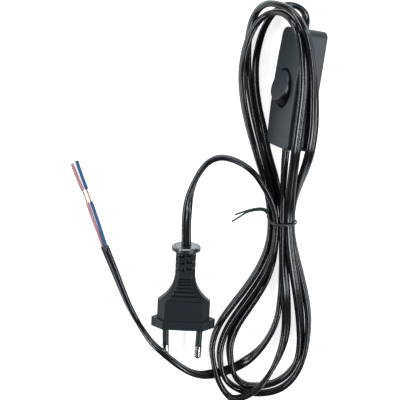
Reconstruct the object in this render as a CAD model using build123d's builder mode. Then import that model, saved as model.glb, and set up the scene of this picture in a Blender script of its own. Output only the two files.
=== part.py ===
import os
from math import atan2, cos, radians, sin, sqrt, tan

from build123d import *

os.makedirs("parts", exist_ok=True)

# Power cord with an inline rocker switch, lying on a table. Millimetres.
# X runs to the right, Y from the plug towards the switch, Z up from the table.

# Fits used all over the model
gap = 0.05            # between pieces that are moulded or pressed together
floor_gap = 0.1       # what lies on the table starts this far above it

# Flat two-core cord
cord_width = 5.4
cord_thickness = 3.0
core_diameter = 1.9
core_pitch = 2.4
wire_diameter = 1.2

# Plug, measured from its front face, Z towards the cord
flange_width = 35.3
flange_thickness = 13.7
flange_depth = 5.0
flange_tip = 0.8
body_width = 29.0
body_thickness = 12.2
body_corner = 4.1
body_depth = 15.5
neck_width = 11.0
neck_thickness = 9.0
neck_corner = 2.0
neck_start = 31.2
collar_start = 44.6
collar_thickness = 2.5
collar_diameter = 15.8
neck_core_width = 7.0
neck_core_thickness = 4.6
slot_height = 1.7
slot_drop = 1.0
slot_pitch = 3.9
slot_stagger = 0.65
neck_web = 1.4
rib_count = 7
rib_first = 29.0
rib_pitch = 1.15
rib_pitch_growth = 0.25
rib_depth = 0.5
rib_height = 0.9
pin_spacing = 19.0
pin_length = 19.0
pin_diameter = 4.0
pin_waist_diameter = 2.9
pin_lean = 1.9
sleeve_length = 10.0
sleeve_diameter = 3.6
pin_root_diameter = 5.4
pin_root_height = 1.4
carrier_width = 27.4
carrier_thickness = 8.6
carrier_depth = 3.6
crimp_diameter = 4.4
crimp_depth = 10.0
crimp_seat = 0.15
core_straight = 3.5
core_bend_room = 4.0
core_bend_radius = 2.2

# Where the plug lies
plug_front = (-28.4, -72.6)
plug_lean = 2.7

# Inline switch, X along it, Y across it, Z towards its rocker
switch_length = 61.5
switch_width = 24.5
switch_corner = 3.6
wall = 1.6
base_floor = 1.8
parting_height = 9.0
ceiling_height = 12.0
end_height = 13.4
crown_height = 14.6
switch_depth = 14.0
edge_radius = 1.0
cover_edge_radius = 1.2
opening_length = 20.6
opening_width = 16.6
pivot_height = 11.4
pivot_diameter = 2.2
pivot_end = 9.5
rocker_skirt_length = 19.6
rocker_skirt_width = 15.8
rocker_waist_length = 17.8
rocker_top_length = 15.2
rocker_rise = 6.0
rocker_dish = 0.4
rocker_wall = 1.5
rocker_travel = 26.0
rocker_foot = 1.0
rocker_skirt_top = 1.0
rocker_waist_height = 3.7
rocker_top_radius = 0.6
rocker_hollow = 4.4
barrel_root = 3.6
clamp_overhang = 2.6
clamp_corner = 0.6
wire_room = 0.4
wire_end_gap = 0.6
live_core_straight = 1.6
core_stop = 0.1
pivot_root = 1.0
lug_length = 5.0
lug_drop = 1.8
lug_bite = 0.4
clamp_post_wall = 0.8
base_post_wall = 1.0
cover_post_wall = 0.9
barrel_diameter = 5.6
barrel_depth = 4.6
barrel_bottom = 2.0
plunger_diameter = 2.9
plunger_clearance = 0.08
plunger_reach = 7.0
plunger_length = 4.6
plunger_travel = 0.6
spring_wire = 0.35
spring_radius = 1.1
spring_pitch = 0.8
fulcrum_height = 3.35
fulcrum_gap = 0.1
lever_half = 9.0
lever_width = 4.2
lever_thickness = 0.8
lever_rise = 12.0
lever_travel = 14.0
contact_place = 7.6
contact_diameter = 2.6
contact_height = 0.7
fixed_contact_top = 3.1
strip_width = 4.0
strip_thickness = 0.8
terminal_place = 14.6
terminal_size = 5.0
terminal_height = 5.4
wire_height = 4.6
terminal_screw = 2.4
clamp_place = 24.8
clamp_length = 3.2
clamp_thickness = 1.4
clamp_screw_spacing = 8.6
clamp_screw = 1.8
clamp_screw_foot = 3.4
sheath_inside = 21.0
housing_screw = 2.4
housing_head = 4.2
head_recess = 2.0
housing_screw_end = 12.0
housing_screw_place = (26.7, 8.2)
screw_slot = 0.6

# Where the switch lies: on its long lower edge, rocker facing left
switch_centre = (30.8, 59.7)
switch_lean = 7.6
switch_roll = 68.0

# Cord on the table
upper_bundle = 6.8
lower_bundle = 7.2
waist_left = 18.2
waist_width = 14.4
waist_near = -8.0
waist_far = -20.0
waist_top = 13.4
waist_low = 0.9
waist_corner = 2.5
tie_thickness = 0.7
tie_width = 1.6
knot_radius = 1.7
knot_reach = 3.3
tail_diameter = 1.2
sheath_end = (-71.4, -27.7)


def octagon(width, thickness, corner):
    """Corners of an octagon with its broad sides level."""
    x, y = width / 2, thickness / 2
    return [
        (x - corner, -y), (x, corner - y), (x, y - corner), (x - corner, y),
        (corner - x, y), (-x, y - corner), (-x, corner - y), (corner - x, -y),
    ]


def bend_radii(points):
    """Largest easy bend at each corner of a cord's route."""
    corners = [Vector(*point) for point in points]
    radii = []
    for before, here, after in zip(corners, corners[1:], corners[2:]):
        run_in = here - before
        run_out = after - here
        half_turn = radians(run_in.get_angle(run_out)) / 2
        radii.append(0.45 * min(run_in.length, run_out.length) / tan(half_turn))
    return radii


def route(name, points):
    """A cord's centre line, straight runs joined by tangent arcs."""
    radii = bend_radii(points)
    line = FilletPolyline(*points, radius=radii)
    print(name, "length", round(line.length, 1), "radii", [round(radius, 1) for radius in radii])
    return line


def save(piece, label, place=None):
    """Put a finished piece where it lies, name it and write it out."""
    placed = piece.moved(place) if place else piece
    placed.label = label
    export_step(placed, f"parts/{label}.step")


# Plug

plug_pitch = atan2((collar_diameter - flange_thickness) / 2, collar_start + collar_thickness / 2)
plug_up = Vector(
    sin(radians(plug_lean)) * cos(plug_pitch), cos(radians(plug_lean)) * cos(plug_pitch), sin(plug_pitch)
)
plug_across = Vector(-cos(radians(plug_lean)), sin(radians(plug_lean)), 0)
plug_place = Plane(
    origin=(*plug_front, flange_thickness / 2 + floor_gap), x_dir=plug_across, z_dir=plug_up
).location
collar_end = collar_start + collar_thickness
cord_tail = 22.0
shoulder_drop = (body_width - neck_width) / 2
shoulder_run = neck_start - body_depth
shoulder_radius = (shoulder_drop ** 2 + shoulder_run ** 2) / (2 * shoulder_drop)


def shoulder_half_width(height):
    """Half the plug's width where the shoulder curves in to the neck."""
    run = neck_start - height
    return neck_width / 2 + shoulder_radius - sqrt(shoulder_radius ** 2 - run ** 2)


def shoulder_share(height):
    """0 at the body, 1 at the neck."""
    return (height - body_depth) / shoulder_run


def core_route(side):
    """One core from the end of the sheath to its pin's crimp."""
    return [
        (side * core_pitch / 2, 0, cord_tail),
        (side * core_pitch / 2, 0, cord_tail - core_straight),
        (side * pin_spacing / 2, 0, crimp_depth + core_bend_room),
        (side * pin_spacing / 2, 0, crimp_depth),
    ]


def core_tube(side, diameter):
    """Round tube along a core's route inside the plug."""
    with BuildPart() as tube:
        with BuildLine() as line:
            FilletPolyline(*core_route(side), radius=core_bend_radius)
        with BuildSketch(Plane(origin=line.wires()[0] @ 0, z_dir=line.wires()[0] % 0)):
            Circle(diameter / 2)
        sweep(path=line.wires()[0])
    return tube.part


def pin_plane(side, height):
    """Plane square to a pin, whose tips lean towards each other."""
    lean = radians(pin_lean)
    axis = Vector(side * sin(lean), 0, cos(lean))
    return Plane(origin=Vector(side * pin_spacing / 2, 0, 0) + axis * height, x_dir=(0, 1, 0), z_dir=axis)


core_rooms = [core_tube(side, core_diameter + 2 * gap) for side in (-1, 1)]
with BuildPart() as plug_body:
    with BuildSketch():
        Polygon(*octagon(flange_width, flange_thickness, (flange_thickness - flange_tip) / 2), align=None)
    extrude(amount=flange_depth)
    with BuildSketch(Plane.XY.offset(flange_depth)):
        Polygon(*octagon(body_width, body_thickness, body_corner), align=None)
    extrude(amount=body_depth - flange_depth)
    for share in (0, 0.1, 0.25, 0.45, 0.7, 1):
        height = body_depth + share * shoulder_run
        thickness = body_thickness + (neck_thickness - body_thickness) * share ** 1.3
        corner = body_corner + (neck_corner - body_corner) * share ** 0.5
        with BuildSketch(Plane.XY.offset(height)):
            Polygon(*octagon(2 * shoulder_half_width(height), thickness, corner), align=None)
    loft()
    with BuildSketch(Plane.XY.offset(neck_start)):
        Polygon(*octagon(neck_width, neck_thickness, neck_corner), align=None)
    extrude(amount=collar_start - neck_start)
    # Staggered slots that let the neck bend
    for side in (-1, 1):
        for row in range(3):
            top = collar_start - slot_drop - row * slot_pitch - (slot_stagger if side > 0 else 0)
            with BuildSketch(Plane.XY.offset(top - slot_height)):
                with Locations((side * (neck_width + neck_web) / 4, 0)):
                    Rectangle((neck_width - neck_web) / 2 + 1.0, neck_thickness + 1)
                Rectangle(neck_web, neck_thickness + 2, mode=Mode.SUBTRACT)
                SlotOverall(neck_core_width, neck_core_thickness, mode=Mode.SUBTRACT)
            extrude(amount=slot_height, mode=Mode.SUBTRACT)
    with BuildSketch(Plane.XY.offset(collar_start)):
        Circle(collar_diameter / 2)
    extrude(amount=collar_thickness)
    fillet(plug_body.edges().filter_by(GeomType.CIRCLE).group_by(Axis.Z)[-1], collar_thickness * 0.45)
    # Grip grooves on both broad sides, wider apart towards the body
    for row in range(rib_count):
        height = rib_first - row * rib_pitch - rib_pitch_growth * row * (row + 1) / 2
        half = shoulder_half_width(height) - neck_corner - 0.5
        share = shoulder_share(height)
        surface = (body_thickness + (neck_thickness - body_thickness) * share ** 1.3) / 2
        for face in (-1, 1):
            with BuildSketch(Plane.XY.offset(height)):
                with Locations((0, face * (surface + 1.0 - rib_depth))):
                    Rectangle(2 * half, 2.0)
            extrude(amount=rib_height / 2, both=True, mode=Mode.SUBTRACT)
    # Room for what is moulded in
    with BuildSketch():
        Polygon(*octagon(carrier_width + 2 * gap, carrier_thickness + 2 * gap, 3.0), align=None)
    extrude(amount=carrier_depth + gap, mode=Mode.SUBTRACT)
    with BuildSketch(Plane.XY.offset(cord_tail)):
        SlotOverall(cord_width + 2 * gap, cord_thickness + 2 * gap)
    extrude(amount=collar_end - cord_tail, mode=Mode.SUBTRACT)
    for side in (-1, 1):
        with BuildSketch(pin_plane(side, carrier_depth)):
            Circle(crimp_diameter / 2 + gap)
        extrude(amount=crimp_depth - carrier_depth + gap, mode=Mode.SUBTRACT)
    for room in core_rooms:
        add(room, mode=Mode.SUBTRACT)
save(plug_body.part, "plug_body", plug_place)

with BuildPart() as pin_carrier:
    with BuildSketch():
        Polygon(*octagon(carrier_width, carrier_thickness, 3.0), align=None)
    extrude(amount=carrier_depth)
    for side in (-1, 1):
        with BuildSketch(pin_plane(side, -pin_root_height)):
            Circle(pin_root_diameter / 2)
        extrude(amount=pin_root_height + 0.3)
    for side in (-1, 1):
        with BuildSketch(pin_plane(side, -pin_root_height - 1)):
            Circle(pin_waist_diameter / 2 + gap)
        extrude(amount=carrier_depth + pin_root_height + 3, mode=Mode.SUBTRACT)
save(pin_carrier.part, "pin_carrier", plug_place)

for side, name in ((1, "left"), (-1, "right")):
    with BuildPart() as plug_pin:
        with BuildSketch(pin_plane(side, -pin_length)):
            Circle(pin_diameter / 2)
        extrude(amount=pin_length - pin_root_height - sleeve_length)
        fillet(plug_pin.edges().filter_by(GeomType.CIRCLE).sort_by(Axis.Z)[0], pin_diameter * 0.4)
        with BuildSketch(pin_plane(side, -pin_root_height - sleeve_length)):
            Circle(pin_waist_diameter / 2)
        extrude(amount=pin_root_height + sleeve_length + carrier_depth + crimp_seat)
        with BuildSketch(pin_plane(side, carrier_depth + crimp_seat)):
            Circle(crimp_diameter / 2)
        extrude(amount=crimp_depth - carrier_depth - crimp_seat - gap)
    save(plug_pin.part, f"{name}_pin", plug_place)

    with BuildPart() as pin_sleeve:
        with BuildSketch(pin_plane(side, -pin_root_height - sleeve_length + gap)):
            Circle(sleeve_diameter / 2)
            Circle(pin_waist_diameter / 2 + gap, mode=Mode.SUBTRACT)
        extrude(amount=sleeve_length - 2 * gap)
    save(pin_sleeve.part, f"{name}_pin_sleeve", plug_place)

    save(core_tube(side, core_diameter), f"{name}_plug_core", plug_place)


# Switch

along = Vector(sin(radians(switch_lean)), cos(radians(switch_lean)), 0)
leftward = Vector(-along.Y, along.X, 0)
face_up = leftward * sin(radians(switch_roll)) + Vector(0, 0, 1) * cos(radians(switch_roll))
rest_height = (
    (switch_width / 2 - edge_radius) * sin(radians(switch_roll))
    + (switch_depth / 2 - edge_radius) * cos(radians(switch_roll))
    + edge_radius + floor_gap
)
switch_plane = Plane(
    origin=Vector(*switch_centre, rest_height) - face_up * switch_depth / 2,
    x_dir=along, z_dir=face_up,
)
switch_place = switch_plane.location
cord_axis_height = parting_height - cord_thickness / 2
inside_length = switch_length - 2 * wall
inside_width = switch_width - 2 * wall
inside_corner = switch_corner - wall
terminal_outer = terminal_place + terminal_size / 2
clamp_places = [
    (x * clamp_place, y * clamp_screw_spacing / 2) for x in (-1, 1) for y in (-1, 1)
]
housing_places = [
    (-housing_screw_place[0], housing_screw_place[1]),
    (housing_screw_place[0], -housing_screw_place[1]),
]


def tilted(height, degrees):
    """Plane on the switch's middle, its upper end tilted away from the face."""
    turn = radians(degrees)
    return Plane(
        origin=switch_plane.from_local_coords((0, 0, height)),
        x_dir=along * cos(turn) - face_up * sin(turn),
        z_dir=face_up * cos(turn) + along * sin(turn),
    )


with BuildPart() as switch_base:
    with BuildSketch():
        RectangleRounded(switch_length, switch_width, switch_corner)
    extrude(amount=parting_height)
    fillet(switch_base.edges().group_by(Axis.Z)[0], edge_radius)
    with BuildSketch(Plane.XY.offset(base_floor)):
        RectangleRounded(inside_length, inside_width, inside_corner)
    extrude(amount=parting_height, mode=Mode.SUBTRACT)
    # Posts for the clamp screws and the housing screws, and a saddle under the cord
    with BuildSketch(Plane.XY.offset(base_floor)):
        with Locations(*clamp_places):
            Circle(clamp_screw / 2 + clamp_post_wall)
        with Locations(*housing_places):
            Circle(housing_screw / 2 + base_post_wall)
    extrude(amount=parting_height - base_floor)
    with BuildSketch(Plane.XY.offset(base_floor)):
        with Locations((-clamp_place, 0), (clamp_place, 0)):
            Rectangle(clamp_length, clamp_screw_spacing - clamp_screw)
    extrude(amount=cord_axis_height - base_floor)
    with BuildSketch():
        with Locations(*housing_places):
            Circle(housing_screw / 2 + gap)
    extrude(amount=parting_height, mode=Mode.SUBTRACT)
    with BuildSketch():
        with Locations(*housing_places):
            Circle(housing_head / 2 + gap)
    extrude(amount=head_recess, mode=Mode.SUBTRACT)
    with BuildSketch(Plane.XY.offset(clamp_screw_foot - gap)):
        with Locations(*clamp_places):
            Circle(clamp_screw / 2 + gap)
    extrude(amount=parting_height, mode=Mode.SUBTRACT)
    # The cord's way in at each end
    for end in (-1, 1):
        inlet = Plane(
            origin=(end * sheath_inside, 0, cord_axis_height), x_dir=(0, 1, 0), z_dir=(end, 0, 0)
        )
        with BuildSketch(inlet):
            SlotOverall(cord_width + 2 * gap, cord_thickness + 2 * gap)
        extrude(amount=switch_length / 2, mode=Mode.SUBTRACT)
save(switch_base.part, "switch_base", switch_place)

with BuildPart() as switch_cover:
    with BuildSketch(Plane.XZ):
        with BuildLine():
            Polyline(
                (-switch_length / 2, end_height),
                (-switch_length / 2, parting_height),
                (switch_length / 2, parting_height),
                (switch_length / 2, end_height),
            )
            ThreePointArc(
                (switch_length / 2, end_height), (0, crown_height), (-switch_length / 2, end_height)
            )
        make_face()
    extrude(amount=switch_width / 2, both=True)
    with BuildSketch(Plane.XY.offset(parting_height)):
        RectangleRounded(switch_length, switch_width, switch_corner)
    extrude(amount=crown_height, mode=Mode.INTERSECT)
    fillet(switch_cover.faces().sort_by(Axis.Z)[-1].edges(), cover_edge_radius)
    with BuildSketch(Plane.XY.offset(parting_height)):
        RectangleRounded(inside_length, inside_width, inside_corner)
    extrude(amount=ceiling_height - parting_height, mode=Mode.SUBTRACT)
    with BuildSketch(Plane.XY.offset(parting_height)):
        with Locations(*housing_places):
            Circle(housing_screw / 2 + cover_post_wall)
    extrude(amount=ceiling_height - parting_height + gap)
    # Lugs that carry the rocker
    with BuildSketch(Plane.XY.offset(pivot_height - lug_drop)):
        for side in (-1, 1):
            with Locations((0, side * (opening_width + inside_width) / 4)):
                Rectangle(lug_length, (inside_width - opening_width) / 2 + lug_bite)
    extrude(amount=ceiling_height - pivot_height + lug_drop + gap)
    with BuildSketch(Plane.XY.offset(parting_height)):
        Ellipse(opening_length / 2, opening_width / 2)
    extrude(amount=crown_height, mode=Mode.SUBTRACT)
    with BuildSketch(Plane(origin=(0, 0, pivot_height), x_dir=(1, 0, 0), z_dir=(0, 1, 0))):
        Circle(pivot_diameter / 2 + gap)
    extrude(amount=pivot_end + gap, both=True, mode=Mode.SUBTRACT)
    with BuildSketch(Plane.XY.offset(parting_height)):
        with Locations(*housing_places):
            Circle(housing_screw / 2 + gap)
    extrude(amount=housing_screw_end - parting_height + gap, mode=Mode.SUBTRACT)
save(switch_cover.part, "switch_cover", switch_place)

# The rocker leans 13 degrees each way, its skirt inside the opening
with BuildPart() as rocker:
    with BuildSketch(Plane.XY.offset(-rocker_foot)):
        Ellipse(rocker_skirt_length / 2, rocker_skirt_width / 2)
    extrude(amount=rocker_foot + rocker_skirt_top)
    for height, length in (
        (rocker_skirt_top, rocker_skirt_length),
        (rocker_waist_height, rocker_waist_length),
        (rocker_rise, rocker_top_length),
    ):
        with BuildSketch(Plane.XY.offset(height)):
            Ellipse(length / 2, rocker_skirt_width / 2)
    loft()
    fillet(rocker.edges().group_by(Axis.Z)[-1], rocker_top_radius)
    dish_radius = (rocker_top_length ** 2 / 4 + rocker_dish ** 2) / (2 * rocker_dish)
    with Locations((0, 0, rocker_rise - rocker_dish + dish_radius)):
        Sphere(dish_radius, mode=Mode.SUBTRACT)
    with BuildSketch(Plane.XY.offset(-rocker_foot)):
        Ellipse(rocker_skirt_length / 2 - rocker_wall, rocker_skirt_width / 2 - rocker_wall)
    extrude(amount=rocker_hollow, mode=Mode.SUBTRACT)
    with BuildSketch(Plane.XY.offset(-barrel_depth)):
        Circle(barrel_diameter / 2)
    extrude(amount=barrel_depth + barrel_root)
    with BuildSketch(Plane.XY.offset(-barrel_depth)):
        Circle(plunger_diameter / 2 + plunger_clearance)
    extrude(amount=barrel_depth + barrel_bottom, mode=Mode.SUBTRACT)
    for side in (-1, 1):
        root = Vector(0, side * (rocker_skirt_width / 2 - pivot_root), 0)
        with BuildSketch(Plane(origin=root, x_dir=(1, 0, 0), z_dir=(0, side, 0))):
            Circle(pivot_diameter / 2)
        extrude(amount=pivot_end - rocker_skirt_width / 2 + pivot_root)
rocker_place = tilted(pivot_height, rocker_travel / 2).location
save(rocker.part, "rocker", rocker_place)

with BuildPart() as plunger:
    with BuildSketch(Plane.XY.offset(-plunger_reach)):
        Circle(plunger_diameter / 2)
    extrude(amount=plunger_length)
    fillet(plunger.edges().group_by(Axis.Z)[0], plunger_diameter / 2 - 0.05)
save(plunger.part, "plunger", rocker_place)

# The spring ends short of the plunger by the plunger's travel
spring_foot = plunger_length - plunger_reach + plunger_travel + spring_wire / 2 + gap
spring_height = barrel_bottom - spring_wire / 2 - gap - spring_foot
with BuildPart() as plunger_spring:
    with BuildLine() as coil:
        Helix(pitch=spring_pitch, height=spring_height, radius=spring_radius, center=(0, 0, spring_foot))
    with BuildSketch(Plane(origin=coil.edges()[0] @ 0, z_dir=coil.edges()[0] % 0)):
        Circle(spring_wire / 2)
    sweep(is_frenet=True)
save(plunger_spring.part, "plunger_spring", rocker_place)

# See-saw contact under the plunger
lever_cos = cos(radians(lever_rise))
lever_sin = sin(radians(lever_rise))
lever_tip = lever_half * lever_cos - lever_thickness * lever_sin
lever_top = lever_half * lever_sin + lever_thickness * lever_cos
with BuildPart() as contact_lever:
    with BuildSketch(Plane.XZ):
        Polygon(
            (0, 0),
            (lever_half * lever_cos, lever_half * lever_sin),
            (lever_tip, lever_top),
            (0, lever_thickness / lever_cos),
            (-lever_tip, lever_top),
            (-lever_half * lever_cos, lever_half * lever_sin),
            align=None,
        )
    extrude(amount=lever_width / 2, both=True)
    rivet = Plane(
        origin=(contact_place * lever_cos, 0, contact_place * lever_sin),
        x_dir=(0, 1, 0), z_dir=(lever_sin, 0, -lever_cos),
    )
    with BuildSketch(rivet):
        Circle(contact_diameter / 2)
    extrude(amount=contact_height)
save(contact_lever.part, "contact_lever", tilted(fulcrum_height + fulcrum_gap, -lever_travel / 2).location)


def terminal(side, strip_end):
    """Strip on the floor of the switch that ends in a screw terminal."""
    with BuildPart() as piece:
        with BuildSketch(Plane.XY.offset(base_floor + gap)):
            with Locations((side * (terminal_outer + strip_end) / 2, 0)):
                Rectangle(terminal_outer - strip_end, strip_width)
        extrude(amount=strip_thickness)
        with BuildSketch(Plane.XY.offset(base_floor + gap)):
            with Locations((side * terminal_place, 0)):
                Rectangle(terminal_size, terminal_size)
        extrude(amount=terminal_height)
        wire_hole = Plane(
            origin=(side * terminal_outer, 0, wire_height), x_dir=(0, 1, 0), z_dir=(-side, 0, 0)
        )
        with BuildSketch(wire_hole):
            Circle(wire_diameter / 2 + wire_room)
        extrude(amount=terminal_size, mode=Mode.SUBTRACT)
        with BuildSketch(Plane.XY.offset(wire_height)):
            with Locations((side * terminal_place, 0)):
                Circle(terminal_screw / 2 + gap)
        extrude(amount=terminal_height, mode=Mode.SUBTRACT)
    return piece.part


with BuildPart() as common_terminal:
    add(terminal(-1, -2.0))
    with BuildSketch(Plane.XZ):
        Polygon(
            (-1.0, base_floor + strip_thickness), (1.0, base_floor + strip_thickness),
            (0.25, fulcrum_height), (-0.25, fulcrum_height), align=None,
        )
    extrude(amount=strip_width / 2, both=True)
save(common_terminal.part, "common_terminal", switch_place)

with BuildPart() as fixed_terminal:
    add(terminal(1, contact_place - contact_diameter / 2 - 0.3))
    with BuildSketch(Plane.XY.offset(base_floor + strip_thickness)):
        with Locations((contact_place, 0)):
            Circle(contact_diameter / 2)
    extrude(amount=fixed_contact_top - base_floor - strip_thickness)
save(fixed_terminal.part, "fixed_terminal", switch_place)


def screws(places, foot, head_foot, head_top, shank, head, drive_up=True):
    """Slotted screws, one solid at each place."""
    with BuildPart() as set_of_screws:
        with BuildSketch(Plane.XY.offset(foot)):
            with Locations(*places):
                Circle(shank / 2)
        extrude(amount=head_foot - foot)
        with BuildSketch(Plane.XY.offset(head_foot)):
            with Locations(*places):
                Circle(head / 2)
        extrude(amount=head_top - head_foot)
        with BuildSketch(Plane.XY.offset(head_top)):
            with Locations(*places):
                Rectangle(head + 1, screw_slot)
        extrude(amount=-screw_slot if drive_up else screw_slot, mode=Mode.SUBTRACT)
    return set_of_screws.part


save(
    screws([(-terminal_place, 0), (terminal_place, 0)], wire_height + wire_diameter / 2 + gap,
           terminal_height + base_floor, terminal_height + base_floor + 1.2, terminal_screw, terminal_screw),
    "terminal_screws", switch_place,
)
save(
    screws(clamp_places, clamp_screw_foot, parting_height + gap + clamp_thickness + gap,
           parting_height + clamp_thickness + 1.2, clamp_screw, clamp_screw + 1.2),
    "clamp_screws", switch_place,
)
save(
    screws(housing_places, housing_screw_end, head_recess - gap, head_recess - 1.4, housing_screw,
           housing_head, drive_up=False),
    "housing_screws", switch_place,
)

for end, name in ((-1, "inlet"), (1, "outlet")):
    with BuildPart() as cord_clamp:
        with BuildSketch(Plane.XY.offset(parting_height + gap)):
            with Locations((end * clamp_place, 0)):
                RectangleRounded(clamp_length, clamp_screw_spacing + clamp_overhang, clamp_corner)
            with Locations(*clamp_places):
                Circle(clamp_screw / 2 + gap, mode=Mode.SUBTRACT)
        extrude(amount=clamp_thickness)
    save(cord_clamp.part, f"cord_clamp_{name}", switch_place)


def round_tube(name, points, diameter):
    """Round solid along a route."""
    with BuildPart() as tube:
        with BuildLine():
            line = route(name, points)
        with BuildSketch(Plane(origin=line @ 0, z_dir=line % 0)):
            Circle(diameter / 2)
        sweep(path=line)
    share = tube.part.volume / (line.length * 3.14159 * diameter ** 2 / 4)
    print(name, "volume over section times length", round(share, 3))
    return tube.part


# Cores inside the switch: the live core goes to the terminals, the other runs past
for end, name in ((-1, "in"), (1, "out")):
    core_points = [
        (end * (sheath_inside - gap), core_pitch / 2, cord_axis_height),
        (end * (sheath_inside - live_core_straight), core_pitch / 2, cord_axis_height),
        (end * (terminal_outer + 1.5), 0, wire_height),
        (end * (terminal_outer + core_stop), 0, wire_height),
    ]
    with BuildPart() as live_core:
        add(round_tube(f"live_core_{name}", core_points, core_diameter))
        with BuildSketch(Plane(origin=core_points[-1], x_dir=(0, 1, 0), z_dir=(-end, 0, 0))):
            Circle(wire_diameter / 2)
        extrude(amount=terminal_size - wire_end_gap)
    save(live_core.part, f"live_core_{name}", switch_place)

neutral_half = [
    (sheath_inside - gap, -core_pitch / 2, cord_axis_height),
    (sheath_inside - 1.8, -core_pitch / 2, cord_axis_height),
    (16.2, -6.6, 5.6),
    (10.0, -7.9, 5.2),
]
neutral_route = [(-x, y, z) for x, y, z in neutral_half] + neutral_half[::-1]
save(round_tube("neutral_core", neutral_route, core_diameter), "neutral_core", switch_place)


# Cord


def past_end(end, distance):
    """Point on the cord's axis that far outside one end of the switch."""
    return tuple(switch_plane.from_local_coords((end * (switch_length / 2 + distance), 0, cord_axis_height)))


def flat_stub(plane, amount):
    """The cord's true flat section, where it is inside a gland."""
    with BuildPart() as stub:
        with BuildSketch(plane):
            SlotOverall(cord_width, cord_thickness)
        extrude(amount=amount)
    return stub.part


def collar_point(distance):
    """Point on the cord's axis that far past the plug's collar."""
    return tuple(plug_place.position + plug_up * (collar_end + distance))


round_start = 0.5      # the round tube starts this far outside a gland
stub_lap = 0.2         # and the flat stub reaches this far into it
plug_route = [
    collar_point(round_start), collar_point(12.0),
    (-25.2, 1.5, 2.9), (-20.5, 16.0, 2.9), (-7.0, 23.6, 3.2), (4.5, 20.5, 10.5),
    (13.0, 12.5, 13.0), (19.5, 3.5, 12.4), (21.4, -2.0, 10.6), (21.4, waist_near, 10.6),
]
inlet_route = [
    past_end(-1, round_start), past_end(-1, round_start + 6.0),
    (25.7, 14.5, 12.9), (26.2, 6.0, 11.9), (27.0, -1.5, 10.6), (27.0, waist_near, 10.6),
]
outlet_route = [
    past_end(1, round_start), past_end(1, round_start + 4.0),
    (33.9, 100.5, 10.0), (28.0, 103.8, 5.2), (21.5, 101.5, 3.6), (17.0, 96.5, 3.5),
]
free_route = [
    (25.5, waist_far, 3.2), (25.5, -30.0, 3.2), (26.3, -42.5, 2.9), (26.0, -55.0, 2.9),
    (24.3, -68.0, 2.9), (20.0, -80.0, 2.9), (12.5, -90.5, 2.9), (2.5, -98.5, 2.9),
    (-8.5, -103.0, 2.9), (-15.0, -103.2, 8.6), (-21.0, -101.6, 14.6), (-29.5, -96.0, 16.8),
    (-41.5, -85.0, 16.8), (-49.5, -75.5, 7.5), (-56.5, -65.0, 2.9), (-61.0, -52.5, 2.9),
    (-65.8, -40.0, 2.9), (*sheath_end, 2.9),
]
upper_lobe = [
    (21.9, waist_near, 4.3), (21.9, 0.0, 4.3), (19.1, 10.5, 3.6), (15.3, 22.0, 3.6), (11.3, 34.0, 3.6),
    (8.3, 47.0, 3.6), (6.5, 61.0, 3.6), (6.3, 75.0, 3.6), (8.5, 88.0, 3.6), (13.0, 98.0, 4.5),
    (20.5, 103.0, 9.5), (26.0, 103.0, 18.5), (30.0, 98.5, 27.5), (32.5, 90.5, 32.0),
    (34.5, 78.0, 30.6), (35.8, 67.0, 30.0), (36.0, 54.0, 29.6), (35.2, 42.0, 29.6),
    (33.9, 32.0, 29.8), (33.6, 21.0, 24.5), (33.8, 13.0, 16.8), (33.0, 5.5, 9.0),
    (29.6, -1.0, 4.6), (29.6, waist_near, 4.6),
]
lower_lobe = [
    (22.0, waist_far, 8.9), (22.0, -27.0, 8.9), (17.0, -38.5, 4.6), (10.5, -50.0, 3.8),
    (3.5, -61.5, 3.8), (-2.8, -73.5, 3.8), (-6.8, -85.0, 5.5), (-7.2, -96.0, 9.9),
    (-3.5, -105.5, 9.9), (5.0, -112.0, 6.5), (16.0, -114.3, 3.9), (27.5, -110.0, 3.8),
    (35.5, -100.0, 3.8), (38.6, -87.0, 3.8), (37.8, -73.0, 3.8), (35.8, -59.0, 3.8),
    (33.8, -46.0, 4.6), (31.8, -35.0, 7.2), (29.2, -27.0, 8.9), (29.2, waist_far, 8.9),
]

plug_tube = round_tube("plug_lead", plug_route, cord_width)
with BuildPart() as plug_lead:
    add(plug_tube)
    stub_plane = Plane(
        origin=Vector(*collar_point(round_start + stub_lap)), x_dir=plug_across, z_dir=plug_up * -1
    )
    add(flat_stub(stub_plane, collar_end - cord_tail + round_start + stub_lap - gap))
save(plug_lead.part, "plug_lead")

inlet_tube = round_tube("switch_lead_in", inlet_route, cord_width)
with BuildPart() as switch_lead_in:
    add(inlet_tube)
    stub_plane = Plane(
        origin=Vector(*past_end(-1, round_start + stub_lap)), x_dir=switch_plane.y_dir, z_dir=along
    )
    add(flat_stub(stub_plane, switch_length / 2 - sheath_inside + round_start + stub_lap))
save(switch_lead_in.part, "switch_lead_in")

outlet_tube = round_tube("switch_lead_out", outlet_route, cord_width)
with BuildPart() as switch_lead_out:
    add(outlet_tube)
    stub_plane = Plane(
        origin=Vector(*past_end(1, round_start + stub_lap)), x_dir=switch_plane.y_dir, z_dir=along * -1
    )
    add(flat_stub(stub_plane, switch_length / 2 - sheath_inside + round_start + stub_lap))
save(switch_lead_out.part, "switch_lead_out")

save(round_tube("free_end", free_route, cord_width), "free_end")
save(round_tube("hank_upper_lobe", upper_lobe, upper_bundle), "hank_upper_lobe")
save(round_tube("hank_lower_lobe", lower_lobe, lower_bundle), "hank_lower_lobe")
waist_height = waist_top - waist_low
waist_place = (waist_near + waist_far) / 2
waist_plane = Plane(
    origin=(waist_left + waist_width / 2, waist_place, (waist_low + waist_top) / 2),
    x_dir=(1, 0, 0), z_dir=(0, 1, 0),
)
with BuildPart() as hank_waist:
    with BuildSketch(waist_plane):
        RectangleRounded(waist_width, waist_height, waist_corner)
    extrude(amount=(waist_near - waist_far) / 2, both=True)
save(hank_waist.part, "hank_waist")

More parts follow.
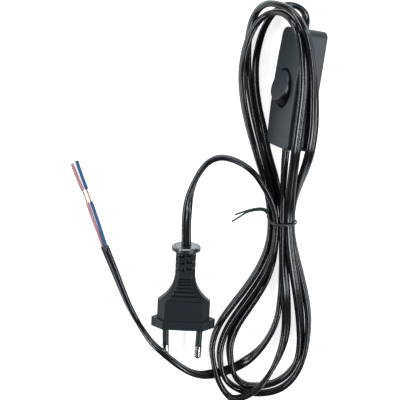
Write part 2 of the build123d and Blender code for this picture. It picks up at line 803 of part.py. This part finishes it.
# Tie round the waist, twisted at its upper left corner
knot = (
    waist_left + waist_corner - knot_reach, waist_place, waist_top - waist_corner + knot_reach
)
long_tail = [knot, (17.0, -8.2, 12.3), (12.5, -4.4, 9.5), (6.0, -5.4, 7.0), (-0.5, -8.2, 4.5)]
short_tail = [knot, (15.9, -9.6, 10.8), (12.0, -6.4, 7.8), (5.0, -7.8, 5.0), (-2.2, -12.7, 2.0)]
long_tail_tube = round_tube("long tail", long_tail, tail_diameter)
short_tail_tube = round_tube("short tail", short_tail, tail_diameter)
with BuildPart() as wire_tie:
    with BuildSketch(waist_plane):
        outset = 2 * (gap + tie_thickness)
        RectangleRounded(waist_width + outset, waist_height + outset, waist_corner + outset / 2)
        RectangleRounded(
            waist_width + 2 * gap, waist_height + 2 * gap, waist_corner + gap, mode=Mode.SUBTRACT
        )
    extrude(amount=tie_width / 2, both=True)
    with Locations(knot):
        Sphere(knot_radius)
    add(long_tail_tube)
    add(short_tail_tube)
save(wire_tie.part, "wire_tie")

# Bare end: the insulation is cut and its tip slid along the strands
core_lines = {
    "red": [
        (-72.5, -28.0, 2.1), (-76.5, -15.9, 1.2), (-80.5, -3.4, 1.1),
        (-82.5, 3.3, 1.1), (-85.6, 11.0, 1.1), (-88.0, 18.5, 1.1),
    ],
    "blue": [
        (-70.3, -27.0, 2.1), (-74.2, -15.0, 1.2), (-78.3, -2.7, 1.1),
        (-80.2, 4.0, 1.1), (-83.1, 12.0, 1.1), (-85.5, 20.0, 1.1),
    ],
}
for colour, points in core_lines.items():
    insulated = round_tube(f"{colour} insulation", points[:3], core_diameter)
    save(insulated, f"core_insulation_{colour}")
    strands = Vector(*points[3]) - Vector(*points[2])
    with BuildPart() as bare_wire:
        with BuildSketch(Plane(origin=points[2], z_dir=strands)):
            Circle(wire_diameter / 2)
        extrude(amount=strands.length - gap)
    save(bare_wire.part, f"copper_strands_{colour}")
    slid = round_tube(f"{colour} tip", points[3:], core_diameter)
    save(slid, f"core_tip_{colour}")
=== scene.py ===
from math import cos, pi, radians, sin

import bpy
import bmesh
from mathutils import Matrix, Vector


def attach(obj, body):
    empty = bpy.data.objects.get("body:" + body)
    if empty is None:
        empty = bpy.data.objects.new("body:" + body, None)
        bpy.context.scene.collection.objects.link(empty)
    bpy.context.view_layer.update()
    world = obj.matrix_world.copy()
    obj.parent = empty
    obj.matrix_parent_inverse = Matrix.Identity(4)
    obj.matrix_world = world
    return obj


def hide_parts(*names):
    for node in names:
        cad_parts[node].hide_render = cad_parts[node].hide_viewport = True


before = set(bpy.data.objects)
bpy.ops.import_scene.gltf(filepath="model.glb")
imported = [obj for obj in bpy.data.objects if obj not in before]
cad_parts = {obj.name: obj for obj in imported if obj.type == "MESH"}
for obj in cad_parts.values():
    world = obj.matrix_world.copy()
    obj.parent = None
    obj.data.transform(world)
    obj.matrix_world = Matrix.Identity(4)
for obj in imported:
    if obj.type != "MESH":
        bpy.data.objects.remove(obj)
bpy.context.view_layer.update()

# Camera and table
# The lead lies on a white table and is seen from almost straight above, from a little past its
# upper end. The table is pure white and keeps only the soft shadow under the lead.
scene = bpy.context.scene
view_centre = Vector((-0.0188, -0.0022, 0.0))
view_tilt = radians(13)
view_distance = 0.486
camera_data = bpy.data.cameras.new("camera")
camera_data.lens = 80
camera_data.sensor_width = 36
camera = bpy.data.objects.new("camera", camera_data)
camera.location = view_centre + view_distance * Vector((0, sin(view_tilt), cos(view_tilt)))
camera.rotation_euler = (-view_tilt, 0, 0)
scene.collection.objects.link(camera)
scene.camera = camera
scene.view_settings.view_transform = "Standard"


class Field:
    """A shader socket that takes part in ordinary arithmetic."""

    def __init__(self, tree, socket):
        self.tree = tree
        self.socket = socket

    def node(self, kind, inputs, outlet=0, **settings):
        made = self.tree.nodes.new(kind)
        for name, value in settings.items():
            setattr(made, name, value)
        for name, value in inputs.items():
            if isinstance(value, Field):
                self.tree.links.new(value.socket, made.inputs[name])
            else:
                made.inputs[name].default_value = value
        return Field(self.tree, made.outputs[outlet])

    def maths(self, operation, first, second=0.0):
        return self.node("ShaderNodeMath", {0: first, 1: second}, operation=operation)

    def __add__(self, other):
        return self.maths("ADD", self, other)

    def __sub__(self, other):
        return self.maths("SUBTRACT", self, other)

    def __rsub__(self, other):
        return self.maths("SUBTRACT", other, self)

    def __mul__(self, other):
        return self.maths("MULTIPLY", self, other)

    def __rmul__(self, other):
        return self.maths("MULTIPLY", other, self)

    def __truediv__(self, other):
        return self.maths("DIVIDE", self, other)

    def above(self, edge, soft):
        return self.node(
            "ShaderNodeMapRange",
            {"Value": self, "From Min": edge - soft, "From Max": edge + soft},
            interpolation_type="SMOOTHSTEP",
        )

    def toward(self, axis):
        """How far a place lies along a direction."""
        return self.node(
            "ShaderNodeVectorMath", {0: self, 1: axis}, outlet="Value", operation="DOT_PRODUCT"
        )

    def spots(self, scale, detail=2.0, roughness=0.5):
        return self.node(
            "ShaderNodeTexNoise",
            {"Vector": self, "Scale": scale, "Detail": detail, "Roughness": roughness},
        )

    def mixed(self, dark, light):
        return self.node(
            "ShaderNodeMix", {0: self, 6: dark, 7: light}, outlet=2, data_type="RGBA"
        )

    def bump(self, strength, distance):
        return self.node(
            "ShaderNodeBump",
            {"Height": self, "Strength": strength, "Distance": distance},
        )


def material(name, **fixed):
    """A new material, its shader, and its Object coordinates as a Field."""
    made = bpy.data.materials.new(name)
    made.use_nodes = True
    tree = made.node_tree
    shader = tree.nodes["Principled BSDF"]
    for socket, value in fixed.items():
        shader.inputs[socket.replace("_", " ")].default_value = value
    place = tree.nodes.new("ShaderNodeTexCoord")
    return made, shader, Field(tree, place.outputs["Object"])


def feed(shader, socket, field):
    field.tree.links.new(field.socket, shader.inputs[socket])


def as_object(name, mesh, finish):
    made = bpy.data.objects.new(name, mesh)
    scene.collection.objects.link(made)
    made.data.materials.append(finish)
    return made


table_paper, paper_shader, place = material("table_paper", Roughness=0.9)
feed(
    paper_shader,
    "Base Color",
    place.spots(60, 4).above(0.5, 0.4).mixed((0.9, 0.9, 0.9, 1), (0.93, 0.93, 0.93, 1)),
)
rays = paper_shader.id_data.nodes.new("ShaderNodeLightPath")
seen = Field(paper_shader.id_data, rays.outputs["Is Camera Ray"])
mirrored = Field(paper_shader.id_data, rays.outputs["Is Glossy Ray"])
glow_seen = 0.8
glow_mirrored = 0.13
feed(paper_shader, "Emission Strength", seen * glow_seen + mirrored * glow_mirrored)
paper_shader.inputs["Emission Color"].default_value = (1, 1, 1, 1)
table_half = 2.0
table_mesh = bpy.data.meshes.new("table")
table_mesh.from_pydata(
    [(x * table_half, y * table_half, 0.0) for x, y in ((-1, -1), (1, -1), (1, 1), (-1, 1))],
    [],
    [(0, 1, 2, 3)],
)
table = as_object("table", table_mesh, table_paper)

world = bpy.data.worlds.new("studio")
world.use_nodes = True
scene.world = world
tree = world.node_tree
background = tree.nodes["Background"]
rays = tree.nodes.new("ShaderNodeLightPath")
sky = Field(tree, rays.outputs["Is Camera Ray"])
feed(background, "Color", sky.mixed((0.07, 0.073, 0.078, 1), (1, 1, 1, 1)))
background.inputs["Strength"].default_value = 1.0


lamp_power = 9
lamp_colour = (0.86, 0.94, 1.0)


def soft_box(name, stand, length, width):
    """A long, narrow lamp at its stand, turned to the middle of the table."""
    data = bpy.data.lights.new(name, "AREA")
    data.shape = "RECTANGLE"
    data.size = length
    data.size_y = width
    data.energy = lamp_power
    data.color = lamp_colour
    lamp = bpy.data.objects.new(name, data)
    lamp.location = stand
    lamp.rotation_euler = Vector(stand).to_track_quat("Z", "Y").to_euler()
    scene.collection.objects.link(lamp)


soft_box("lamp_left", (-0.8, 0.1, 0.6), 0.9, 0.12)
soft_box("lamp_right", (0.72, -0.15, 0.75), 0.9, 0.14)
soft_box("lamp_top", (0.0, 1.0, 0.5), 1.2, 0.2)

# Flat two-core cord
# Black flat lead, 5.4 x 3.0 mm, with round corners and a faint line between its two cores. It is made
# as a closed tube swept along the smooth line of its route, and turns on edge where it bends.
cord_width = 0.0054
cord_thickness = 0.0030
corner_radius = 0.0014
groove_depth = 0.00018
across_flat = cord_width / 2 - corner_radius


def smooth_line(controls):
    """The points of the NURBS line that has these control points."""
    data = bpy.data.curves.new("route", "CURVE")
    data.dimensions = "3D"
    spline = data.splines.new("NURBS")
    spline.points.add(len(controls) - 1)
    for point, control in zip(spline.points, controls):
        point.co = (*control, 1)
    spline.order_u = 3
    spline.use_endpoint_u = True
    spline.resolution_u = 10
    holder = bpy.data.objects.new("route", data)
    scene.collection.objects.link(holder)
    line = bpy.data.meshes.new_from_object(holder)
    points = [vertex.co.copy() for vertex in line.vertices]
    bpy.data.objects.remove(holder)
    return points


def flat_section():
    """The cord's outline, across and up, counterclockwise."""
    outline = []
    for corner in range(4):
        across = (1 if corner in (0, 3) else -1) * across_flat
        up = (1 if corner in (0, 1) else -1) * (cord_thickness / 2 - corner_radius)
        for step in range(6):
            turn = pi / 2 * (corner + step / 5)
            outline.append(
                (across + corner_radius * cos(turn), up + corner_radius * sin(turn))
            )
        if corner in (0, 2):
            side = 1 if corner == 0 else -1
            for share in (0.6, 0.2, 0.0, -0.2, -0.6):
                dent = groove_depth if share == 0.0 else 0.0
                outline.append((side * share * across_flat, side * (cord_thickness / 2 - dent)))
    return outline


def sweep(name, points, rolls, section, finish):
    """A closed tube along the points. A roll of 0 lays the section flat and pi/2 sets it on edge."""
    count = len(section)
    across_total = sum(
        (Vector(section[i]) - Vector(section[i - 1])).length for i in range(count)
    )
    vertices = []
    run = [0.0]
    for number, point in enumerate(points):
        before = points[max(number - 1, 0)]
        after = points[min(number + 1, len(points) - 1)]
        along = (after - before).normalized()
        side = Vector((0, 0, 1)).cross(along).normalized()
        up = along.cross(side)
        roll = rolls[number]
        wide = side * cos(roll) + up * sin(roll)
        thick = up * cos(roll) - side * sin(roll)
        vertices += [point + wide * a + thick * b for a, b in section]
        if number:
            run.append(run[-1] + (point - points[number - 1]).length)
    faces = []
    spots = []
    for ring in range(len(points) - 1):
        for step in range(count):
            following = (step + 1) % count
            faces.append(
                (
                    ring * count + step,
                    ring * count + following,
                    (ring + 1) * count + following,
                    (ring + 1) * count + step,
                )
            )
            low = step / count * across_total
            high = (step + 1) / count * across_total
            spots += [
                (run[ring], low), (run[ring], high), (run[ring + 1], high), (run[ring + 1], low)
            ]
    last = (len(points) - 1) * count
    faces.append(tuple(range(count - 1, -1, -1)))
    faces.append(tuple(last + step for step in range(count)))
    spots += [(0.0, 0.0)] * (2 * count)
    mesh = bpy.data.meshes.new(name)
    mesh.from_pydata(vertices, [], faces)
    layer = mesh.uv_layers.new(name="run")
    for corner, spot in zip(layer.data, spots):
        corner.uv = spot
    for face in mesh.polygons:
        face.use_smooth = True
    made = as_object(name, mesh, finish)
    shell = bmesh.new()
    shell.from_mesh(mesh)
    bmesh.ops.recalc_face_normals(shell, faces=shell.faces)
    shell.to_mesh(mesh)
    shell.free()
    return made


def lobe(waist_start, first, far, second, waist_end, ease, blunt, heights, rolls):
    """One half of a turn: out from the waist, round its far end and back to just before the waist."""
    runs = 6
    quarter = 5
    places = []
    for step in range(runs):
        part = step / runs
        drift = part ** ease[0]
        drift = drift * drift * (3 - 2 * drift)
        places.append(
            (
                waist_start + (first[0] - waist_start) * drift,
                waist_y + (first[1] - waist_y) * part,
            )
        )
    for step in range(2 * quarter + 1):
        turn = pi / 2 * step / quarter
        side = first if step <= quarter else second
        level = abs(cos(turn)) ** (2 / blunt)
        reach = sin(turn) ** (2 / blunt)
        places.append(
            (far[0] + (side[0] - far[0]) * level, side[1] + (far[1] - side[1]) * reach)
        )
    for step in range(runs - 1, 0, -1):
        part = step / runs
        drift = part ** ease[1]
        drift = drift * drift * (3 - 2 * drift)
        places.append(
            (
                waist_end + (second[0] - waist_end) * drift,
                waist_y + (second[1] - waist_y) * part,
            )
        )
    return [(x, y, z, roll) for (x, y), z, roll in zip(places, heights, rolls)]


cord_sheath, sheath_shader, place = material("cord_sheath", Base_Color=(0.006, 0.006, 0.007, 1))
feed(sheath_shader, "Roughness", place.spots(900, 3) * 0.1 + 0.16)
feed(sheath_shader, "Normal", place.spots(2500, 2).bump(0.08, 0.0002))

waist_y = -0.014

plug_side = [
    (-0.0262, -0.0267, 0.0080, 0),
    (-0.0263, -0.0187, 0.0080, 0),
    (-0.0261, -0.0118, 0.0066, 5),
    (-0.0255, -0.0050, 0.0046, 25),
    (-0.0244, 0.0018, 0.0032, 60),
    (-0.0210, 0.0107, 0.0028, 90),
    (-0.0161, 0.0181, 0.0028, 90),
    (-0.0107, 0.0216, 0.0028, 90),
    (-0.0049, 0.0222, 0.0036, 90),
    (0.0025, 0.0200, 0.0066, 90),
    (0.0076, 0.0168, 0.0092, 90),
    (0.0114, 0.0131, 0.0094, 90),
    (0.0152, 0.0071, 0.0093, 90),
    (0.0186, 0.0014, 0.0092, 90),
    (0.0208, -0.0043, 0.0090, 90),
    (0.0219, -0.0090, 0.0088, 90),
]
plug_side += lobe(
    0.0223, (-0.00807, -0.08898), (0.01555, -0.11529), (0.0422, -0.07476), 0.0312,
    (1.36, 0.92), 2.32,
    [0.0088, 0.0084, 0.0066, 0.0034, 0.0028, 0.0028, 0.0034, 0.0064, 0.0064, 0.0036, 0.0028]
    + [0.0028, 0.0028, 0.0028, 0.0028, 0.0028, 0.0027, 0.0027, 0.0027, 0.0027, 0.0028, 0.0031],
    [90, 85, 75, 72, 74, 77, 77, 80, 85, 88, 90, 90, 89, 86, 80, 74, 68, 65, 65, 65, 70, 80],
)
plug_side += lobe(
    0.0312, (0.03914, 0.04713), (0.01735, 0.1033), (0.0060, 0.07591), 0.0230,
    (0.93, 0.86), 2.32,
    [0.0032, 0.0038, 0.0090, 0.0171, 0.0241, 0.0254, 0.0252, 0.0268, 0.0297, 0.0315, 0.0265]
    + [0.0180, 0.0112, 0.0066, 0.0040, 0.0028, 0.0028, 0.0028, 0.0028, 0.0028, 0.0028, 0.0030],
    [90, 80, 60, 30, 15, 22, 24, 50, 66, 75, 82, 82, 80, 77, 75, 74, 74, 74, 76, 80, 85, 90],
)
plug_side += lobe(
    0.0230, (-0.0023, -0.08467), (0.01127, -0.11078), (0.0380, -0.08271), 0.0293,
    (1.66, 0.95), 2.33,
    [0.0034, 0.0030, 0.0028, 0.0028, 0.0028, 0.0028, 0.0030, 0.0064, 0.0064, 0.0040, 0.0028]
    + [0.0028, 0.0028, 0.0028, 0.0028, 0.0028, 0.0028, 0.0034, 0.0056, 0.0078, 0.0084, 0.0084],
    [90, 85, 75, 65, 58, 55, 60, 70, 80, 88, 90, 90, 89, 86, 80, 68, 52, 36, 25, 21, 21, 21],
)
plug_side += lobe(
    0.0293, (0.0332, 0.06246), (0.02017, 0.09904), (0.0030, 0.06551), 0.0199,
    (2.5, 0.93), 2.06,
    [0.0084, 0.0106, 0.0180, 0.0262, 0.0288, 0.0279, 0.0278, 0.0288, 0.0303, 0.0308, 0.0245]
    + [0.0165, 0.0115, 0.0093, 0.0089, 0.0075, 0.0040, 0.0028, 0.0028, 0.0028, 0.0028, 0.0029],
    [21, 21, 21, 20, 20, 22, 22, 28, 60, 72, 80, 85, 85, 80, 75, 72, 72, 74, 76, 80, 85, 90],
)
plug_side += lobe(
    0.0199, (-0.0123, -0.08541), (-0.0002, -0.11587), (0.02973, -0.0759), 0.0253,
    (1.29, 0.9), 1.74,
    [0.0034, 0.0029, 0.0028, 0.0028, 0.0028, 0.0028, 0.0030, 0.0042, 0.0066, 0.0066, 0.0068]
    + [0.0088, 0.0099, 0.0092, 0.0050, 0.0028, 0.0025, 0.0042, 0.0070, 0.0073, 0.0080, 0.0086],
    [90, 86, 82, 80, 80, 82, 84, 87, 90, 90, 90, 90, 90, 85, 70, 42, 24, 21, 21, 21, 42, 72],
)
plug_side += [
    (0.0253, -0.0140, 0.0088, 90),
    (0.0252, -0.0030, 0.0090, 90),
    (0.0255, 0.0056, 0.0102, 92),
    (0.0257, 0.0142, 0.0122, 98),
    (0.0258, 0.0210, 0.0136, 106),
    (0.0262, 0.0270, 0.0140, 112),
    (0.0264, 0.0297, 0.0140, 112),
]

load_side = [
    (0.0344, 0.0897, 0.0140, 112),
    (0.0348, 0.0926, 0.0139, 112),
    (0.0351, 0.0956, 0.0125, 108),
    (0.0344, 0.0984, 0.0102, 100),
    (0.0320, 0.1009, 0.0074, 94),
    (0.0286, 0.1022, 0.0050, 90),
    (0.0246, 0.1020, 0.0034, 90),
    (0.0205, 0.0994, 0.0028, 88),
    (0.0170, 0.0949, 0.0028, 85),
    (0.0140, 0.0893, 0.0028, 83),
    (0.0118, 0.0816, 0.0028, 78),
    (0.0103, 0.0728, 0.0028, 76),
    (0.0104, 0.0634, 0.0028, 76),
    (0.0112, 0.0555, 0.0028, 76),
    (0.0129, 0.0465, 0.0028, 76),
    (0.0153, 0.0379, 0.0028, 80),
    (0.0168, 0.0298, 0.0028, 84),
    (0.0188, 0.0217, 0.0028, 82),
    (0.0213, 0.0134, 0.0028, 76),
    (0.0230, 0.0063, 0.0028, 76),
    (0.0245, -0.0015, 0.0029, 82),
    (0.0259, -0.0099, 0.0033, 90),
    (0.0261, -0.0150, 0.0034, 90),
    (0.0263, -0.0240, 0.0030, 90),
    (0.0265, -0.0344, 0.0028, 90),
    (0.0264, -0.0442, 0.0028, 90),
    (0.0263, -0.0530, 0.0028, 90),
    (0.0256, -0.0600, 0.0028, 90),
    (0.0249, -0.0677, 0.0028, 90),
    (0.0228, -0.0748, 0.0028, 90),
    (0.0195, -0.0817, 0.0028, 90),
    (0.0157, -0.0874, 0.0028, 85),
    (0.0107, -0.0926, 0.0028, 60),
    (0.0056, -0.0968, 0.0022, 20),
    (0.0011, -0.0995, 0.0017, 4),
    (-0.0040, -0.1016, 0.0017, 0),
    (-0.0085, -0.1029, 0.0018, 4),
    (-0.0125, -0.1034, 0.0027, 36),
    (-0.0178, -0.1026, 0.0058, 80),
    (-0.0233, -0.0999, 0.0090, 90),
    (-0.0289, -0.0956, 0.0114, 90),
    (-0.0344, -0.0908, 0.0126, 90),
    (-0.0405, -0.0854, 0.0123, 90),
    (-0.0462, -0.0813, 0.0086, 95),
    (-0.0508, -0.0759, 0.0048, 100),
    (-0.0548, -0.0699, 0.0029, 108),
    (-0.0591, -0.0610, 0.0027, 116),
    (-0.0628, -0.0511, 0.0026, 125),
    (-0.0670, -0.0394, 0.0024, 135),
    (-0.0714, -0.0277, 0.0024, 140),
]


def flat_cord(name, controls, finish):
    """The swept cord and the points of its line."""
    points = smooth_line([(x, y, z) for x, y, z, roll in controls])
    rolls = [turn.x for turn in smooth_line([(radians(c[3]), 0, 0) for c in controls])]
    return sweep(name, points, rolls, flat_section(), finish), points


plug_cord, plug_line = flat_cord("plug_side_cord", plug_side, cord_sheath)
load_cord, load_line = flat_cord("load_side_cord", load_side, cord_sheath)
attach(plug_cord, "lead")
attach(load_cord, "lead")
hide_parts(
    "plug_lead", "hank_upper_lobe", "hank_lower_lobe", "hank_waist", "switch_lead_in"
)
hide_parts("switch_lead_out", "free_end")

# Bare end
# The sheath stops 26 mm short of the bare wire. Each core's last 16 mm of insulation is cut and
# slid along, so that a short length of bright, twisted copper shows between the two pieces.
core_diameter = 0.0019
wire_diameter = 0.0010
hairs = 7
hair_diameter = wire_diameter / 3
twist_pitch = 0.012


def round_section(width, height, steps=16):
    return [
        (width / 2 * cos(2 * pi * step / steps), height / 2 * sin(2 * pi * step / steps))
        for step in range(steps)
    ]


def round_piece(name, controls, section, finish):
    points = smooth_line(controls)
    return sweep(name, points, [0.0] * len(points), section, finish)


def core_finish(name, dark, light):
    made, shader, place = material(name)
    feed(shader, "Base Color", place.spots(400, 3).mixed(dark, light))
    feed(shader, "Roughness", place.spots(900, 2) * 0.15 + 0.35)
    feed(shader, "Normal", place.spots(2400, 2).bump(0.1, 0.0001))
    return made


red_pvc = core_finish("red_pvc", (0.38, 0.17, 0.18, 1), (0.47, 0.23, 0.24, 1))
blue_pvc = core_finish("blue_pvc", (0.008, 0.055, 0.15, 1), (0.016, 0.09, 0.22, 1))
copper, copper_shader, place = material("copper", Base_Color=(0.60, 0.34, 0.24, 1), Metallic=0.6)
feed(copper_shader, "Roughness", place.spots(2200, 3) * 0.2 + 0.2)

cores = {
    "red": [
        (-0.0720, -0.0290, 0.0017),
        (-0.0735, -0.0240, 0.0014),
        (-0.0765, -0.0155, 0.0011),
        (-0.0786, -0.0090, 0.0011),
        (-0.0803, -0.0036, 0.0011),
    ],
    "blue": [
        (-0.0702, -0.0285, 0.0030),
        (-0.0717, -0.0235, 0.0025),
        (-0.0743, -0.0150, 0.0016),
        (-0.0764, -0.0085, 0.0013),
        (-0.0782, -0.0029, 0.0012),
    ],
}
slid_tips = {
    "red": [(-0.0827, 0.0036, 0.0011), (-0.0856, 0.0110, 0.0011), (-0.0880, 0.0183, 0.0011)],
    "blue": [(-0.0804, 0.0042, 0.0011), (-0.0831, 0.0120, 0.0011), (-0.0854, 0.0198, 0.0011)],
}
for colour, finish in (("red", red_pvc), ("blue", blue_pvc)):
    core = round_piece(
        f"{colour}_core", cores[colour], round_section(core_diameter, core_diameter), finish
    )
    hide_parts(f"core_insulation_{colour}")
    tip = round_piece(
        f"{colour}_tip", slid_tips[colour], round_section(core_diameter, core_diameter), finish
    )
    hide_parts(f"core_tip_{colour}")
    wire_line = smooth_line(cores[colour][-2:] + slid_tips[colour][:2])
    twisted = bmesh.new()
    for hair_number in range(hairs):
        offset = hair_diameter if hair_number else 0.0
        centres = []
        run = 0.0
        for number, point in enumerate(wire_line):
            run += (point - wire_line[max(number - 1, 0)]).length
            turn = 2 * pi * (hair_number / (hairs - 1) + run / twist_pitch)
            centres.append(point + Vector((offset * cos(turn), 0, offset * sin(turn))))
        hair = sweep(
            "hair", centres, [0.0] * len(centres),
            round_section(hair_diameter, hair_diameter, 8), copper,
        )
        twisted.from_mesh(hair.data)
        bpy.data.objects.remove(hair)
    wire_mesh = bpy.data.meshes.new(f"{colour}_copper")
    twisted.to_mesh(wire_mesh)
    twisted.free()
    wire = as_object(f"{colour}_copper", wire_mesh, copper)
    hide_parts(f"copper_strands_{colour}")
    for piece in (core, tip, wire):
        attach(piece, "lead")

# Tie
# A black plastic-covered wire, once round the waist of the hank and crossed at its left. Its two
# tails stand away to the left and part near their ends.
tie_plastic, tie_shader, place = material("tie_black", Base_Color=(0.022, 0.026, 0.026, 1))
feed(tie_shader, "Roughness", place.spots(900, 3) * 0.15 + 0.35)
feed(tie_shader, "Normal", place.spots(2600, 2).bump(0.15, 0.0001))
tie_width = 0.0011
tie_thickness = 0.0008
tie_route = [
    (0.0003, -0.0092, 0.0050),
    (0.0058, -0.0068, 0.0064),
    (0.0105, -0.0054, 0.0070),
    (0.0160, -0.0050, 0.0070),
    (0.0184, -0.0078, 0.0068),
    (0.0182, -0.0112, 0.0088),
    (0.0200, -0.0127, 0.0117),
    (0.0232, -0.0132, 0.0126),
    (0.0270, -0.0134, 0.0126),
    (0.0304, -0.0134, 0.0112),
    (0.0330, -0.0133, 0.0090),
    (0.0338, -0.0131, 0.0044),
    (0.0322, -0.0129, 0.0006),
    (0.0262, -0.0127, 0.0004),
    (0.0196, -0.0122, 0.0006),
    (0.0176, -0.0108, 0.0040),
    (0.0184, -0.0092, 0.0064),
    (0.0158, -0.0062, 0.0060),
    (0.0105, -0.0065, 0.0060),
    (0.0062, -0.0080, 0.0048),
    (0.0030, -0.0108, 0.0030),
    (-0.0014, -0.0140, 0.0014),
]
tie = round_piece("tie", tie_route, round_section(tie_width, tie_thickness, 12), tie_plastic)
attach(tie, "lead")
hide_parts("wire_tie")

# Plug
# One-piece moulded plug in black PVC: a dull, very finely grained skin, glossy on top of the collar,
# with painted shade in the slots and grooves. Heights run from the plug's front face towards its
# cord, and depths from its middle plane. The pins are nickel-plated, with black sleeves over their
# roots.
slots_from = 0.0314
slots_to = 0.0439
slots_floor = 0.0041
grip_from = 0.0155
grip_length = 0.0157
grip_half = 0.0061
grip_taper = 0.0016
grip_curve = 1.3
grooves_from = 0.0172
grooves_to = 0.0296
grooves_under = 0.00025
collar_top = 0.0464
sharp_edge = 0.0001
soft_edge = 0.0003


def finish_node(name, finish):
    for slot in bpy.data.objects[name].material_slots:
        slot.material = finish


face_middle = Vector((-0.0284, -0.0726, 0.00695))
plug_up = Vector((0.04710, 0.99863, 0.02286))
plug_thick = Vector((-0.00108, -0.02283, 0.99974))
plug_skin, skin_shader, place = material("plug_skin", Coat_IOR=2.6, Coat_Roughness=0.12)
height = place.toward(plug_up) - face_middle.dot(plug_up)
depth = place.toward(plug_thick) - face_middle.dot(plug_thick)
depth = depth.maths("ABSOLUTE", depth)
# Painted shade: the slots and the neck's side walls between them are coloured near black.
painted_slot_shade = height.above(slots_from, sharp_edge) * (1 - height.above(slots_to, sharp_edge))
painted_slot_shade = painted_slot_shade * (1 - depth.above(slots_floor, sharp_edge))
share = (height - grip_from) / grip_length
share = share.maths("MAXIMUM", share, 0.0)
grip_face = grip_half - grip_taper * share.maths("POWER", share, grip_curve)
# Painted shade: the floors of the grip grooves are coloured darker than the skin around them.
painted_groove_shade = height.above(grooves_from, soft_edge) * (1 - height.above(grooves_to, soft_edge))
painted_groove_shade = painted_groove_shade * (1 - (depth + grooves_under - grip_face).above(0.0, sharp_edge))
skin = place.spots(300, 3).mixed((0.009, 0.012, 0.014, 1), (0.013, 0.017, 0.020, 1))
skin = painted_groove_shade.mixed(skin, (0.0025, 0.003, 0.004, 1))
feed(skin_shader, "Coat Weight", height.above(collar_top, soft_edge) * 0.9)
feed(skin_shader, "Base Color", painted_slot_shade.mixed(skin, (0.001, 0.0012, 0.0015, 1)))
feed(skin_shader, "Roughness", place.spots(700, 4) * 0.16 + 0.3)
feed(skin_shader, "Normal", place.spots(1800, 3).bump(0.12, 0.0002))
for name in ("plug_body", "pin_carrier", "left_pin_sleeve", "right_pin_sleeve"):
    finish_node(name, plug_skin)

nickel, nickel_shader, place = material("nickel", Base_Color=(0.78, 0.76, 0.72, 1), Metallic=1.0)
feed(nickel_shader, "Roughness", place.spots(1500, 3) * 0.14 + 0.14)
for name in ("left_pin", "right_pin"):
    finish_node(name, nickel)

# Switch
# Two half shells and a rocker in black plastic with a fine, even grain. The rocker is smoother, with
# painted shade that makes it nearly black below its top.
shell_grain, shell_shader, place = material("shell_grain")
feed(
    shell_shader,
    "Base Color",
    place.spots(250, 3).mixed((0.016, 0.020, 0.022, 1), (0.024, 0.029, 0.032, 1)),
)
feed(shell_shader, "Roughness", place.spots(900, 3) * 0.12 + 0.42)
feed(shell_shader, "Normal", place.spots(2600, 2).bump(0.2, 0.0002))
for name in ("switch_base", "switch_cover"):
    finish_node(name, shell_grain)

rocker_up = Vector((-0.8656, 0.3424, 0.3650))
rocker_skirt = 0.0084
rocker_skin, rocker_shader, place = material("rocker_skin")
# Painted shade: below the top of its skirt the rocker is coloured nearly black, as in its recess's
# shadow.
above_painted_shade = place.toward(rocker_up).above(rocker_skirt, soft_edge)
pad = place.spots(300, 2).mixed((0.022, 0.025, 0.029, 1), (0.029, 0.033, 0.038, 1))
feed(rocker_shader, "Base Color", above_painted_shade.mixed((0.002, 0.0025, 0.003, 1), pad))
feed(rocker_shader, "Roughness", place.spots(1200, 3) * 0.1 + 0.3)
feed(rocker_shader, "Normal", place.spots(3000, 2).bump(0.1, 0.0001))
finish_node("rocker", rocker_skin)

# Inside the plug and the switch
# Brass contacts, plated screws and spring, a pale nylon plunger, black cord grips, and the lead's two
# cores.


def grained(name, dark, light, roughness, metal=0.0):
    made, shader, place = material(name, Metallic=metal)
    feed(shader, "Base Color", place.spots(500, 3).mixed(dark, light))
    feed(shader, "Roughness", place.spots(1500, 3) * 0.2 + roughness)
    feed(shader, "Normal", place.spots(2400, 2).bump(0.1, 0.0001))
    return made


brass = grained("brass", (0.55, 0.36, 0.13, 1), (0.66, 0.45, 0.18, 1), 0.2, 1.0)
steel = grained("plated_steel", (0.50, 0.50, 0.50, 1), (0.62, 0.62, 0.60, 1), 0.18, 1.0)
nylon = grained("nylon", (0.62, 0.60, 0.54, 1), (0.70, 0.68, 0.62, 1), 0.4)
grip_black = grained("grip_black", (0.012, 0.012, 0.013, 1), (0.02, 0.02, 0.022, 1), 0.4)
for finish, names in (
    (brass, ("contact_lever", "common_terminal", "fixed_terminal")),
    (steel, ("plunger_spring", "terminal_screws", "clamp_screws", "housing_screws")),
    (nylon, ("plunger",)),
    (grip_black, ("cord_clamp_inlet", "cord_clamp_outlet")),
    (red_pvc, ("live_core_in", "live_core_out", "left_plug_core")),
    (blue_pvc, ("neutral_core", "right_plug_core")),
):
    for name in names:
        finish_node(name, finish)
